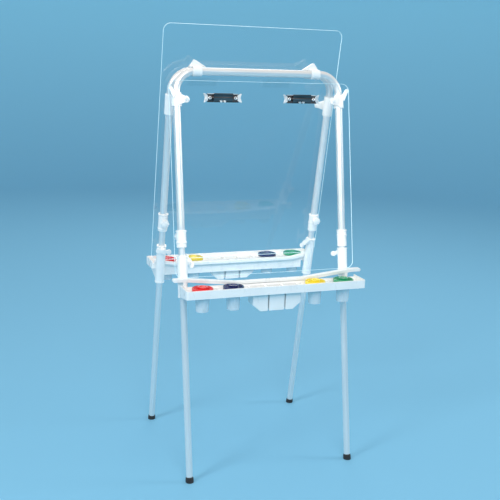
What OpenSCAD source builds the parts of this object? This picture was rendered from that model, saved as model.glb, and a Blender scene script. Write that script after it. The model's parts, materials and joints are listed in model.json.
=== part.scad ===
// Children's easel: two bent tube frames that lean together, a clear board on each side,
// and a white tray of paint pots on each side.
// Millimetres, +Z up, origin on the floor in the middle of the four feet. The front faces -Y.
// A value named ..._s is a distance down a leg, measured from the axis of its top bar.
// A leaning frame is drawn upright: x across, y outwards from the A, z up along the leg.

/* [Frames] */
// Height of the top bars' axes above the floor
bar_height = 1325; // [1250:5:1400]
// Distance from the middle plane to each top bar's axis
bar_half_gap = 23; // [22:0.5:26]
// Distance from the middle plane to the middle of each foot
foot_half_depth = 262; // [250:1:275]
// Distance from the middle to each leg's axis
leg_half_spacing = 290; // [288:1:292]
// Outer diameter of the bent upper tubes
tube_d = 25; // [24.5:0.1:25]
// Wall of the bent upper tubes
tube_wall = 1.2; // [1:0.1:1.2]
// Radius of the bends at the tube's axis
bend_r = 68; // [60:1:68]
// Where the upper tubes end
upper_end_s = 556; // [552:1:558]
// Outer diameter of the lower leg tubes
leg_d = 22; // [20:0.5:22]
// Wall of the lower leg tubes
leg_wall = 1.2; // [1:0.1:2]
// Where the lower tubes begin, inside the upper ones
leg_top_s = 400; // [380:5:480]

/* [Feet] */
// Diameter of a rubber foot
foot_d = 27; // [25:0.5:30]
// Length of the lower tube that a foot covers
foot_grip = 12; // [8:1:25]
// Rubber below the end of the tube, on the leg's axis
foot_sole = 5; // [4:0.5:8]

/* [Telescope locks] */
// Diameter of a lock collar
lock_d = 34; // [30:0.5:34]
// Top of the front left lock collar
front_left_lock_top_s = 514; // [505:1:520]
// Bottom of the front left lock collar
front_left_lock_end_s = 570; // [565:1:580]
// Top of the front right lock collar
front_right_lock_top_s = 534; // [525:1:536]
// Bottom of the front right lock collar
front_right_lock_end_s = 592; // [585:1:594]
// Top of the rear left lock collar
rear_left_lock_top_s = 499; // [492:1:510]
// Bottom of the rear left lock collar
rear_left_lock_end_s = 563; // [562:1:575]
// Top of the rear right lock collar
rear_right_lock_top_s = 522; // [515:1:530]
// Bottom of the rear right lock collar
rear_right_lock_end_s = 585; // [575:1:595]
// Diameter of a round lock knob
knob_d = 28; // [24:0.5:32]
// Thickness of a round lock knob
knob_t = 13; // [10:0.5:14]

/* [Hinge links] */
// Distance from the middle to the centre of the left link
left_link_x = 218; // [205:1:218]
// Distance from the middle to the centre of the right link
right_link_x = 203; // [200:1:218]
// Width of a link along the bars
link_w = 31; // [24:1:31]
// Wall of a link round a bar
link_wall = 3.6; // [3:0.1:4]
// Height of a link's fin above the bars' axes
fin_h = 37; // [30:1:45]

/* [Boards] */
// Width of the two boards
board_w = 640; // [600:5:640]
// Thickness of the boards
board_t = 4; // [3:0.5:4]
// Gap from a frame's axis plane to the inner face of its board
board_offset = 18.5; // [18.5:0.1:20]
// Radius of the boards' corners
board_corner_r = 25; // [15:1:30]
// Top of the front board
front_board_top_s = 33; // [33:1:45]
// Top of the rear board, above its bar
rear_board_top_s = -149; // [-160:1:-120]
// Bottom of the front board
front_board_end_s = 668; // [660:1:668]
// Bottom of the rear board
rear_board_end_s = 684; // [676:1:684]

/* [Board clamps] */
// Diameter of a clamp's collar
clamp_d = 34; // [32:0.5:34]
// Top of the front clamps
front_clamp_top_s = 70; // [70:1:76]
// Bottom of the front clamps
front_clamp_end_s = 115; // [110:1:125]
// Top of the rear clamps
rear_clamp_top_s = 78; // [72:1:84]
// Bottom of the rear clamps
rear_clamp_end_s = 146; // [135:1:155]
// Distance from a leg's axis to the bolt of its front clamp
front_bolt_reach = 28; // [28:0.5:34]
// The same, for the rear clamps
rear_bolt_reach = 34; // [30:0.5:38]
// Diameter of a clamp's bolt
bolt_d = 6; // [5:0.5:6]
// Diameter of a thumb nut
nut_d = 18; // [16:0.5:20]
// Thickness of a thumb nut
nut_t = 9; // [7:0.5:10]

/* [Paper clips] */
// Distance from the middle to the centre of a clip
clip_x = 140; // [120:1:160]
// Height of the clips on the leg's scale
clip_s = 88; // [80:1:110]
// Length of a clip's body
clip_l = 108; // [100:1:120]
// Height of a clip's body
clip_h = 27; // [24:1:30]
// Length of a clip's lever
lever_l = 66; // [50:1:70]

/* [Trays] */
// Half of a tray's width
tray_half_w = 316; // [314:1:320]
// How far the front tray stands to the right of the middle
front_tray_shift = 8; // [0:1:8]
// Distance from the middle plane to a tray's back face
tray_back_y = 170; // [170:0.5:172]
// Distance from the middle plane to a tray's front face
tray_front_y = 256; // [252:1:262]
// Bottom of a tray's walls
tray_bottom_z = 622; // [620:1:624]
// Top of a tray's walls
tray_top_z = 650; // [648:1:651]
// Top of the low wall beside the legs
back_wall_z = 642; // [640:0.5:642]
// Bottom of the front tray's skirt, under its low wall
front_skirt_z = 605; // [600:1:612]
// Bottom of the rear tray's skirt
rear_skirt_z = 596; // [592:1:605]
// Top of the deck that the pots hang in
deck_z = 636; // [635:0.5:637]
// Thickness of the walls and of the deck
tray_wall = 3; // [2.5:0.1:3]
// Radius of a tray's two outer corners
tray_corner_r = 8; // [6:1:12]
// Half of the length of the front board ledge, tip to tip
front_ledge_half_l = 338; // [332:1:340]
// The same, for the rear ledge
rear_ledge_half_l = 308; // [306:1:312]
// Thickness of the board ledges
ledge_t = 12; // [10:0.5:12]

/* [Tray sleeves] */
// Diameter of a sleeve
sleeve_d = 35; // [32:0.5:35]
// Top of the front sleeves
front_sleeve_top_s = 597; // [596:1:602]
// Bottom of the front sleeves
front_sleeve_end_s = 734; // [728:1:745]
// Top of the rear sleeves
rear_sleeve_top_s = 618; // [612:1:620]
// Bottom of the rear sleeves
rear_sleeve_end_s = 763; // [755:1:770]
// Where the front wing knobs' axes meet the legs
front_wing_s = 616; // [612:1:630]
// Where the rear wing knobs' axes meet the legs
rear_wing_s = 630; // [630:1:645]
// Span of a wing knob
wing_span = 56; // [50:1:58]

/* [Pots] */
// Distances from the middle to the pots' axes
pot_inner_x = 146; // [146:1:150]
// The same, for the outer pots
pot_outer_x = 251; // [250:1:253]
// Distance from the middle plane to the pots' axes
pot_y = 213; // [211:0.5:214]
// Diameter of a pot under its rim
pot_top_d = 50; // [46:0.5:52]
// Diameter of a pot's base
pot_base_d = 42; // [38:0.5:44]
// Height of the pots' bases above the floor
pot_base_z = 570; // [565:1:580]
// Wall of a pot
pot_wall = 1.6; // [1.2:0.1:2]
// Diameter of a pot's rim
pot_rim_d = 62; // [60:0.5:64]
// Diameter of a lid
lid_d = 70; // [66:0.5:72]

/* [Brush boxes] */
// Width of a brush box
box_w = 171; // [160:1:176]
// Depth of a brush box
box_depth = 48; // [40:1:52]
// Gap between two compartments
box_slit = 4; // [3:0.5:6]
// Height of a brush box's base above the floor
box_base_z = 561; // [555:1:570]
// Wall of a brush box
box_wall = 2; // [1.5:0.1:2.5]

/* [Hidden] */
$fn = 96;
FRONT = -1;
REAR = 1;
LEFT = -1;
RIGHT = 1;

// Each frame leans by this angle, and its legs have this length down to the floor.
lean = atan((foot_half_depth - bar_half_gap) / bar_height);
leg_length = bar_height / cos(lean);
tube_r = tube_d / 2;
bore_r = tube_r - tube_wall;
leg_r = leg_d / 2;
// Gaps: between pieces that slide, between pieces that only meet, and round a turning bar.
slide_gap = 0.3;
seat_gap = 0.05;
turn_gap = 0.1;
overrun = 1;
stud_r = 3;
stud_hole_r = 3.3;
stud_tip = leg_r + 0.4;
deck_bottom_z = deck_z - tray_wall;
pot_xs = [-pot_outer_x, -pot_inner_x, pot_inner_x, pot_outer_x];
front_lid_colors = ["crimson", "midnightblue", "gold", "seagreen"];
rear_lid_colors = ["crimson", "gold", "midnightblue", "seagreen"];
pot_rim_t = 2;
lid_base_z = deck_z + pot_rim_t + slide_gap;
floor_cut = 60;

// ---- Placing ----------------------------------------------------------------------------

// From a frame's upright drawing to its leaning place at the front or the rear.
module on_frame(end) {
    mirror([0, end == FRONT ? 1 : 0, 0])
        translate([0, bar_half_gap, bar_height])
            rotate([lean, 0, 0])
                children();
}

// From the right rear to the named end, for what stands level.
module on_end(end) {
    mirror([0, end == FRONT ? 1 : 0, 0]) children();
}

module on_side(side) {
    mirror([side == LEFT ? 1 : 0, 0, 0]) children();
}

module both_sides() {
    on_side(RIGHT) children();
    on_side(LEFT) children();
}

// A cylinder on a leg's axis, between two distances down the leg.
module on_leg(r, top_s, end_s) {
    translate([leg_half_spacing, 0, -end_s]) cylinder(r = r, h = end_s - top_s);
}

// A place on a leg's axis that faces inwards, turned by an angle towards the middle.
module facing_in(s, turn = 0) {
    translate([leg_half_spacing, 0, -s]) rotate([90, 0, 0]) rotate([0, -turn, 0]) children();
}

// A cylinder that points inwards, square to a leg, between two distances from its axis.
module inwards(r, from, to, s, turn = 0) {
    facing_in(s, turn) translate([0, 0, from]) cylinder(r = r, h = to - from);
}

// ---- Tube frames and legs ---------------------------------------------------------------

// A solid inverted U: the bar, two quarter bends and two legs.
module bent_rod(r, end_s) {
    bar_half = leg_half_spacing - bend_r;
    rotate([0, 90, 0]) cylinder(r = r, h = 2 * bar_half, center = true);
    both_sides() {
        translate([bar_half, 0, -bend_r])
            rotate([90, 0, 0])
                rotate_extrude(angle = 90)
                    translate([bend_r, 0]) circle(r = r);
        on_leg(r, bend_r, end_s);
    }
}

module frame_tube(end) {
    color("gainsboro") on_frame(end)
        difference() {
            bent_rod(tube_r, upper_end_s);
            bent_rod(bore_r, upper_end_s + overrun);
            for (side = [LEFT, RIGHT])
                on_side(side)
                    inwards(stud_hole_r, 0, tube_d, lock_knob_s(side, end), lock_turn(side, end));
        }
}

module leg(side, end) {
    color("silver") on_frame(end) on_side(side)
        difference() {
            on_leg(leg_r, leg_top_s, leg_length - foot_sole);
            on_leg(leg_r - leg_wall, leg_top_s - overrun, leg_length);
        }
}

module foot(side, end) {
    sole_s = leg_length - foot_sole;
    color("black")
        difference() {
            on_frame(end) on_side(side)
                difference() {
                    on_leg(foot_d / 2, sole_s - foot_grip, leg_length + foot_d);
                    on_leg(leg_r + seat_gap, sole_s - foot_grip - overrun, sole_s);
                }
            translate([-leg_length, -leg_length, -floor_cut])
                cube([2 * leg_length, 2 * leg_length, floor_cut]);
        }
}

// ---- Telescope locks --------------------------------------------------------------------

function lock_top_s(side, end) =
    end == FRONT ? (side == LEFT ? front_left_lock_top_s : front_right_lock_top_s)
                 : (side == LEFT ? rear_left_lock_top_s : rear_right_lock_top_s);
function lock_end_s(side, end) =
    end == FRONT ? (side == LEFT ? front_left_lock_end_s : front_right_lock_end_s)
                 : (side == LEFT ? rear_left_lock_end_s : rear_right_lock_end_s);
function lock_knob_s(side, end) = (lock_top_s(side, end) + upper_end_s) / 2;
// The front right knob is turned a little towards the outside.
function lock_turn(side, end) = end == FRONT && side == RIGHT ? -20 : 0;
lock_boss_end = 23;

// A collar fixed round the end of the upper tube, with a bead at each end and a knob boss.
module lock(side, end) {
    top_s = lock_top_s(side, end);
    end_s = lock_end_s(side, end);
    knob_s = lock_knob_s(side, end);
    turn = lock_turn(side, end);
    bead_h = 5;
    bead_r = lock_d / 2 + 0.8;
    boss_r = 8;
    color("white") on_frame(end) on_side(side)
        difference() {
            union() {
                on_leg(lock_d / 2 - 0.7, top_s, end_s);
                on_leg(bead_r, top_s, top_s + bead_h);
                on_leg(bead_r, upper_end_s - bead_h, upper_end_s);
                inwards(boss_r, 0, lock_boss_end, knob_s, turn);
            }
            on_leg(tube_r + seat_gap, top_s - overrun, upper_end_s);
            on_leg(leg_r + slide_gap, top_s, end_s + overrun);
            inwards(stud_hole_r, 0, lock_boss_end + overrun, knob_s, turn);
        }
}

// A fluted knob on a screw that presses on the lower tube.
module lock_knob(side, end) {
    face = lock_boss_end + slide_gap;
    flutes = 8;
    flute_r = 3;
    color("white") on_frame(end) on_side(side)
        facing_in(lock_knob_s(side, end), lock_turn(side, end)) {
            difference() {
                translate([0, 0, face]) cylinder(r = knob_d / 2, h = knob_t);
                for (i = [0 : flutes - 1])
                    rotate(i * 360 / flutes)
                        translate([knob_d / 2 + 1, 0, face - overrun])
                            cylinder(r = flute_r, h = knob_t + 2 * overrun);
            }
            translate([0, 0, stud_tip]) cylinder(r = stud_r, h = face - stud_tip);
        }
}

// ---- Hinge links ------------------------------------------------------------------------

// A link holds the front bar and lets the rear bar turn, and carries a fin on top.
module hinge_link(side) {
    link_x = side == LEFT ? left_link_x : right_link_x;
    ring_r = tube_r + link_wall;
    web_h = 16;
    web_t = 2 * bar_half_gap;
    fin_t = 12;
    fin_foot = 2;
    fin_in = 38;
    fin_out = 21;
    apex_x = 3;
    apex_r = 4;
    base_z = ring_r - fin_foot;
    // Room for the bends, which start inside the left link.
    bend_x = leg_half_spacing - bend_r;
    bend_gap = 1.5;
    color("white") on_side(side)
        translate([link_x, 0, bar_height])
            difference() {
                union() {
                    for (y = [-bar_half_gap, bar_half_gap])
                        translate([-link_w / 2, y, 0])
                            rotate([0, 90, 0]) cylinder(r = ring_r, h = link_w);
                    translate([-link_w / 2, -web_t / 2, -web_h / 2])
                        cube([link_w, web_t, web_h + ring_r - web_h / 2]);
                    translate([0, fin_t / 2, 0])
                        rotate([90, 0, 0])
                            linear_extrude(fin_t) {
                                polygon([
                                    [-fin_in, base_z], [fin_out, base_z],
                                    [apex_x + apex_r, fin_h - apex_r],
                                    [apex_x, fin_h],
                                    [apex_x - apex_r, fin_h - 1]
                                ]);
                                translate([apex_x, fin_h - apex_r]) circle(r = apex_r);
                            }
                }
                for (y = [[-bar_half_gap, seat_gap], [bar_half_gap, turn_gap]])
                    translate([0, y[0], 0])
                        rotate([0, 90, 0]) {
                            translate([0, 0, -link_x]) cylinder(r = tube_r + y[1], h = leg_half_spacing);
                            translate([0, 0, bend_x - link_x])
                                cylinder(r = tube_r + bend_gap, h = bend_r);
                        }
            }
}

// ---- Boards and their clamps ------------------------------------------------------------

function clamp_top_s(end) = end == FRONT ? front_clamp_top_s : rear_clamp_top_s;
function clamp_end_s(end) = end == FRONT ? front_clamp_end_s : rear_clamp_end_s;
function bolt_s(end) = (clamp_top_s(end) + clamp_end_s(end)) / 2;
function bolt_x(end) = leg_half_spacing - (end == FRONT ? front_bolt_reach : rear_bolt_reach);
function board_end_s(end) = end == FRONT ? front_board_end_s : rear_board_end_s;

// A rectangle with four round corners.
module rounded_plate(w, low_z, high_z, r) {
    for (x = [-w / 2 + r, w / 2 - r])
        for (z = [low_z + r, high_z - r])
            translate([x, z]) circle(r = r);
    translate([-w / 2 + r, low_z]) square([w - 2 * r, high_z - low_z]);
    translate([-w / 2, low_z + r]) square([w, high_z - low_z - 2 * r]);
}

module board(end) {
    top_s = end == FRONT ? front_board_top_s : rear_board_top_s;
    color("lightcyan", 0.35) on_frame(end)
        difference() {
            translate([0, board_offset + board_t, 0])
                rotate([90, 0, 0])
                    linear_extrude(board_t)
                        rounded_plate(board_w, -board_end_s(end), -top_s, board_corner_r);
            both_sides()
                translate([bolt_x(end), 0, -bolt_s(end)])
                    rotate([-90, 0, 0]) cylinder(r = stud_hole_r, h = 2 * board_offset);
        }
}

ear_back_y = 12;

// A collar on each leg with an ear behind the board, which the bolt passes through. The front
// ones also have a small round lug on the outer side that the board's edge leans on.
module board_clamps(end) {
    top_s = clamp_top_s(end);
    end_s = clamp_end_s(end);
    s = bolt_s(end);
    x = bolt_x(end);
    ear_t = board_offset - ear_back_y;
    ear_r = 11;
    ear_half = 20;
    root_x = x + 2;
    root_half = ear_r - 1;
    color("white") on_frame(end) both_sides()
        difference() {
            union() {
                on_leg(clamp_d / 2, top_s, end_s);
                translate([0, board_offset, 0])
                    rotate([90, 0, 0])
                        linear_extrude(ear_t) {
                            translate([x, -s]) circle(r = ear_r);
                            polygon([
                                [root_x, -s + root_half], [leg_half_spacing, -s + ear_half],
                                [leg_half_spacing, -s - ear_half], [root_x, -s - root_half]
                            ]);
                            if (end == FRONT) edge_lug(top_s);
                        }
            }
            on_leg(tube_r + seat_gap, top_s - clamp_d, end_s + overrun);
            translate([x, 0, -s])
                rotate([-90, 0, 0]) cylinder(r = bolt_d / 2 + seat_gap, h = 2 * board_offset);
        }
}

// The outline of a lug that rises outwards from a clamp's top to a round end.
module edge_lug(top_s) {
    reach = 24;
    rise = 14;
    lug_r = 6;
    end_x = leg_half_spacing + reach;
    end_z = -top_s + rise;
    root_drop = 20;
    translate([end_x, end_z]) circle(r = lug_r);
    polygon([
        [end_x - lug_r, end_z + 2], [end_x + lug_r, end_z - 1],
        [end_x - 10, -top_s - root_drop], [end_x - root_drop, -top_s - 4]
    ]);
}

// A bolt on each side with a low domed head on the board's outer face.
module board_bolts(end) {
    head_r = 6.5;
    head_t = 3;
    shank_l = 22;
    board_face = board_offset + board_t;
    color("white") on_frame(end) both_sides()
        translate([bolt_x(end), board_face, -bolt_s(end)])
            rotate([-90, 0, 0]) {
                cylinder(r1 = head_r, r2 = head_r - 2, h = head_t);
                translate([0, 0, -shank_l]) cylinder(r = bolt_d / 2, h = shank_l);
            }
}

module thumb_nut(side, end) {
    flutes = 10;
    flute_r = 1.6;
    nut_face = ear_back_y - slide_gap;
    color("white") on_frame(end) on_side(side)
        translate([bolt_x(end), nut_face, -bolt_s(end)])
            rotate([90, 0, 0])
                difference() {
                    cylinder(r = nut_d / 2, h = nut_t);
                    translate([0, 0, -overrun])
                        cylinder(r = bolt_d / 2 + turn_gap, h = nut_t + 2 * overrun);
                    for (i = [0 : flutes - 1])
                        rotate(i * 360 / flutes)
                            translate([nut_d / 2 + 0.6, 0, -overrun])
                                cylinder(r = flute_r, h = nut_t + 2 * overrun);
                }
}

// ---- Paper clips ------------------------------------------------------------------------

clip_plate_t = 1.5;
clip_face = board_offset + board_t;
pin_y = clip_face + 6.5;
pin_r = 1.6;

// Places a clip drawn flat: x along it, z up, y outwards from the board's face.
module on_clip(side) {
    on_frame(FRONT) on_side(side) translate([clip_x, 0, -clip_s]) children();
}

// The fixed half of both clips: a back plate with flared tips, two rivets, two ears and a pin.
module clip_bodies() {
    tip_l = 12;
    tip_h = 31;
    rivet_x = 44;
    rivet_r = 5.5;
    ear_h = 9;
    ear_t = 1.5;
    ear_x = lever_l / 2 + 1;
    color("dimgray")
        for (side = [LEFT, RIGHT])
            on_clip(side) {
                translate([0, clip_face + clip_plate_t, 0])
                    rotate([90, 0, 0])
                        linear_extrude(clip_plate_t) {
                            square([clip_l, clip_h], center = true);
                            for (m = [0, 1])
                                mirror([m, 0])
                                    polygon([
                                        [clip_l / 2, -clip_h / 2 + 3],
                                        [clip_l / 2 + tip_l, -tip_h / 2],
                                        [clip_l / 2 + tip_l - 4, 0],
                                        [clip_l / 2 + tip_l, tip_h / 2],
                                        [clip_l / 2, clip_h / 2 - 3]
                                    ]);
                        }
                for (m = [-1, 1]) {
                    translate([m * rivet_x, clip_face, 0])
                        rotate([-90, 0, 0]) cylinder(r1 = rivet_r, r2 = rivet_r - 1.5, h = 5);
                    translate([m * ear_x - ear_t / 2, clip_face, -ear_h / 2])
                        cube([ear_t, pin_y - clip_face + 3, ear_h]);
                }
                translate([-ear_x, pin_y, 0]) rotate([0, 90, 0]) cylinder(r = pin_r, h = 2 * ear_x);
            }
}

// The sprung lever: a curved plate rolled round the pin, with a jaw below and a grip above.
module clip_lever(side) {
    roll_r = 3.4;
    plate_t = 1.2;
    jaw_y = 1.6;
    grip_y = 10;
    reach = 14;
    knuckle = pin_y - clip_face;
    color("silver") on_clip(side)
        translate([-lever_l / 2, clip_face, 0])
            difference() {
                rotate([90, 0, 90])
                    linear_extrude(lever_l) {
                        translate([knuckle, 0]) circle(r = roll_r);
                        polygon([
                            [jaw_y, -reach], [jaw_y + plate_t, -reach],
                            [knuckle + roll_r, 0], [grip_y + plate_t, reach],
                            [grip_y, reach], [knuckle + roll_r - plate_t, 0]
                        ]);
                    }
                translate([-overrun, knuckle, 0])
                    rotate([0, 90, 0]) cylinder(r = pin_r + turn_gap, h = lever_l + 2 * overrun);
            }
}

// ---- Trays ------------------------------------------------------------------------------

// The tray's outline from above, drawn for the rear tray, shrunk by inset on every side.
module tray_outline(inset) {
    r = tray_corner_r - inset;
    half_w = tray_half_w - inset;
    back = tray_back_y + inset;
    straight = tray_front_y - tray_corner_r;
    translate([-half_w, back]) square([2 * half_w, straight - back]);
    translate([-(half_w - r), straight]) square([2 * (half_w - r), r]);
    for (m = [-1, 1])
        translate([m * (half_w - r), straight]) circle(r = r);
}

function tray_shift(end) = end == FRONT ? front_tray_shift : 0;

// Height of the lower edge of a board's inner face, less a small gap.
function board_rest_z(end) =
    bar_height - board_end_s(end) * cos(lean) + board_offset * sin(lean) - slide_gap;

// The ledge that the board stands on: level in the middle, rising to its round tips.
module ledge_side(end) {
    level_x = end == FRONT ? 120 : 225;
    rise_x = end == FRONT ? 300 : 290;
    half_l = end == FRONT ? front_ledge_half_l : rear_ledge_half_l;
    low = end == FRONT ? tray_top_z + 1 : back_wall_z;
    high = board_rest_z(end);
    tip_r = ledge_t / 2;
    polygon([
        [0, low - ledge_t], [level_x, low - ledge_t], [rise_x, high - ledge_t],
        [half_l - tip_r, high - ledge_t], [half_l - tip_r, high],
        [rise_x, high], [level_x, low], [0, low]
    ]);
    translate([half_l - tip_r, high - tip_r]) circle(r = tip_r);
}

ledge_back_y = 155;

// The deck inside its walls, with a lower wall beside the legs; open below the deck.
module tray_shell() {
    difference() {
        translate([0, 0, tray_bottom_z])
            linear_extrude(tray_top_z - tray_bottom_z) tray_outline(0);
        translate([0, 0, deck_z]) linear_extrude(tray_top_z) tray_outline(tray_wall);
        translate([0, 0, deck_bottom_z - tray_top_z])
            linear_extrude(tray_top_z) tray_outline(tray_wall);
        translate([-tray_half_w + tray_wall, tray_back_y - overrun, back_wall_z])
            cube([2 * (tray_half_w - tray_wall), tray_wall + 2 * overrun, tray_top_z]);
    }
}

module tray(end) {
    box_hole_w = box_w + 1;
    box_hole_depth = box_depth + 1;
    wall_face_y = tray_back_y + tray_wall;
    skirt_half_w = 270;
    skirt_z = end == FRONT ? front_skirt_z : rear_skirt_z;
    post_w = 12;
    post_back_y = 166;
    post_low_z = back_wall_z - 4;
    cut_rise = 4 * ledge_t;
    color("white") on_end(end)
        difference() {
            union() {
                translate([tray_shift(end), 0, 0]) {
                    tray_shell();
                    translate([0, wall_face_y, 0])
                        rotate([90, 0, 0])
                            linear_extrude(wall_face_y - ledge_back_y)
                                both_sides() ledge_side(end);
                }
                translate([-skirt_half_w, tray_back_y, skirt_z])
                    cube([2 * skirt_half_w, tray_wall, back_wall_z - skirt_z]);
                both_sides()
                    translate([leg_half_spacing - post_w / 2, post_back_y, post_low_z])
                        cube([
                            post_w, wall_face_y - post_back_y,
                            board_rest_z(end) - ledge_t / 2 - post_low_z
                        ]);
            }
            translate([tray_shift(end), pot_y, 0]) {
                for (x = pot_xs)
                    translate([x, 0, 0]) cylinder(r = pot_top_d / 2 + 1, h = tray_top_z);
                translate([-box_hole_w / 2, -box_hole_depth / 2, 0])
                    cube([box_hole_w, box_hole_depth, tray_top_z]);
            }
            on_frame(REAR) both_sides()
                on_leg(sleeve_d / 2 + slide_gap, board_end_s(end) - cut_rise, sleeve_end_s(end));
        }
}

function sleeve_top_s(end) = end == FRONT ? front_sleeve_top_s : rear_sleeve_top_s;
function sleeve_end_s(end) = end == FRONT ? front_sleeve_end_s : rear_sleeve_end_s;
function wing_s(end) = end == FRONT ? front_wing_s : rear_wing_s;
// Two of the four knobs are turned towards the middle.
function wing_turn(side, end) =
    end == FRONT && side == LEFT ? 60 : (end == REAR && side == RIGHT ? 65 : 0);
wing_boss_end = 22;

// The sleeves on the legs, each with a pad against the tray's back and a gusset under its end.
module tray_sleeves(end) {
    pad_w = 26;
    pad_depth = 20;
    pad_top_z = deck_z + 2;
    pad_bottom_z = tray_bottom_z + 2;
    gusset_x = 298;
    gusset_t = 6;
    gusset_front_y = tray_front_y - 10;
    gusset_depth = 14;
    gusset_rise = end == FRONT ? 4 : 14;
    gusset_low_z = bar_height - sleeve_end_s(end) * cos(lean) + gusset_rise;
    gusset_low_y = bar_half_gap + sleeve_end_s(end) * sin(lean) + gusset_depth;
    lip_r = sleeve_d / 2;
    lip_h = 6;
    boss_r = 9;
    color("white")
        difference() {
            union() {
                on_frame(end) both_sides() {
                    on_leg(sleeve_d / 2 - 1, sleeve_top_s(end), sleeve_end_s(end));
                    on_leg(lip_r, sleeve_top_s(end), sleeve_top_s(end) + lip_h);
                    on_leg(lip_r, sleeve_end_s(end) - lip_h, sleeve_end_s(end));
                }
                on_frame(end)
                    for (side = [LEFT, RIGHT])
                        on_side(side) inwards(boss_r, 0, wing_boss_end, wing_s(end), wing_turn(side, end));
                on_end(end) both_sides() {
                    translate([leg_half_spacing - pad_w / 2, tray_back_y - pad_depth, pad_bottom_z])
                        cube([pad_w, pad_depth, pad_top_z - pad_bottom_z]);
                    translate([gusset_x, 0, 0])
                        rotate([90, 0, 90])
                            linear_extrude(gusset_t)
                                polygon([
                                    [gusset_low_y - gusset_depth, tray_bottom_z],
                                    [gusset_low_y - gusset_depth, gusset_low_z],
                                    [gusset_low_y, gusset_low_z],
                                    [gusset_front_y, tray_bottom_z - 4],
                                    [gusset_front_y, tray_bottom_z]
                                ]);
                }
            }
            on_frame(end) {
                both_sides()
                    on_leg(leg_r + slide_gap, sleeve_top_s(end) - overrun, sleeve_end_s(end) + overrun);
                for (side = [LEFT, RIGHT])
                    on_side(side)
                        inwards(
                            stud_hole_r, 0, wing_boss_end + overrun,
                            wing_s(end), wing_turn(side, end)
                        );
            }
        }
}

// A two-winged knob on a screw that presses on the leg through the sleeve.
module wing_knob(side, end) {
    face = wing_boss_end + slide_gap;
    hub_r = 9;
    hub_t = 14;
    wing_t = 6;
    wing_r = 9;
    wing_c = wing_span / 2 - wing_r;
    waist = 5;
    root = wing_r - 1;
    // How far each knob has been tightened.
    wing_tilt = wing_turn(side, end) > 0 ? 50 : 8;
    color("white") on_frame(end) on_side(side)
        facing_in(wing_s(end), wing_turn(side, end)) {
            translate([0, 0, face]) cylinder(r = hub_r, h = hub_t);
            translate([0, 0, stud_tip]) cylinder(r = stud_r, h = face + 1 - stud_tip);
            translate([0, 0, face + hub_t - wing_t - 1])
                rotate(wing_tilt)
                    linear_extrude(wing_t) {
                        polygon([
                            [-wing_c, -root], [0, -waist], [wing_c, -root],
                            [wing_c, root], [0, waist], [-wing_c, root]
                        ]);
                        for (x = [-wing_c, wing_c])
                            translate([x, 0]) circle(r = wing_r);
                    }
        }
}

// ---- Pots, lids and brush boxes ---------------------------------------------------------

module pot(index, end) {
    rim_z = deck_z + slide_gap;
    top_r = pot_top_d / 2;
    base_r = pot_base_d / 2;
    h = rim_z - pot_base_z;
    color("lightblue", 0.5) on_end(end)
        translate([pot_xs[index] + tray_shift(end), pot_y, 0])
            difference() {
                union() {
                    translate([0, 0, pot_base_z]) cylinder(r1 = base_r, r2 = top_r, h = h);
                    translate([0, 0, rim_z])
                        cylinder(r = pot_rim_d / 2, h = pot_rim_t - slide_gap);
                }
                translate([0, 0, pot_base_z + pot_wall])
                    cylinder(
                        r1 = base_r - pot_wall, r2 = top_r - pot_wall,
                        h = h + pot_rim_t
                    );
            }
}

// A snap lid: a rim, a groove, and a raised hub with a dished top, with a plug below.
module lid(index, end, shade) {
    lid_r = lid_d / 2;
    plate_t = 6;
    rim_t = 10;
    rim_w = 5;
    hub_r = 17;
    hub_t = 15;
    dish_r = 12;
    dish_depth = 4;
    plug_r = pot_top_d / 2 - pot_wall - 1;
    plug_h = 5;
    color(shade) on_end(end)
        translate([pot_xs[index] + tray_shift(end), pot_y, lid_base_z])
            difference() {
                union() {
                    cylinder(r = lid_r, h = plate_t);
                    difference() {
                        cylinder(r = lid_r, h = rim_t);
                        cylinder(r = lid_r - rim_w, h = rim_t + overrun);
                    }
                    cylinder(r = hub_r, h = hub_t);
                    translate([0, 0, -plug_h]) cylinder(r = plug_r, h = plug_h);
                }
                translate([0, 0, hub_t - dish_depth]) cylinder(r = dish_r, h = dish_depth + overrun);
                translate([0, 0, -plug_h - overrun]) cylinder(r = plug_r - 2, h = plug_h + overrun);
            }
}

// Outline of one compartment seen from the front; the outer two have a cut lower corner.
module compartment_side(index, inset) {
    w = (box_w - 2 * box_slit) / 3;
    cut_x = 28;
    cut_z = 23;
    left = -box_w / 2 + index * (w + box_slit) + inset;
    right = left + w - 2 * inset;
    low = box_base_z + inset;
    high = deck_z + 2 * inset;
    polygon([
        [left, high],
        [left, index == 0 ? low + cut_z : low],
        [index == 0 ? left + cut_x : left, low],
        [index == 2 ? right - cut_x : right, low],
        [right, index == 2 ? low + cut_z : low],
        [right, high]
    ]);
}

// Three open compartments that hang from one flange on the deck.
module brush_box(end) {
    flange_over = 4;
    flange_t = 2;
    low_y = pot_y - box_depth / 2;
    color("white") on_end(end) translate([tray_shift(end), 0, 0])
        difference() {
            union() {
                translate([0, low_y + box_depth, 0])
                    rotate([90, 0, 0])
                        linear_extrude(box_depth)
                            for (i = [0 : 2]) compartment_side(i, 0);
                translate([-box_w / 2 - flange_over, low_y - flange_over, deck_z + slide_gap])
                    cube([box_w + 2 * flange_over, box_depth + 2 * flange_over, flange_t]);
                translate([-box_w / 2, low_y, deck_z - 2])
                    cube([box_w, box_depth, 2 + slide_gap + flange_t]);
            }
            translate([0, low_y + box_depth - box_wall, 0])
                rotate([90, 0, 0])
                    linear_extrude(box_depth - 2 * box_wall)
                        for (i = [0 : 2]) compartment_side(i, box_wall);
        }
}

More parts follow.
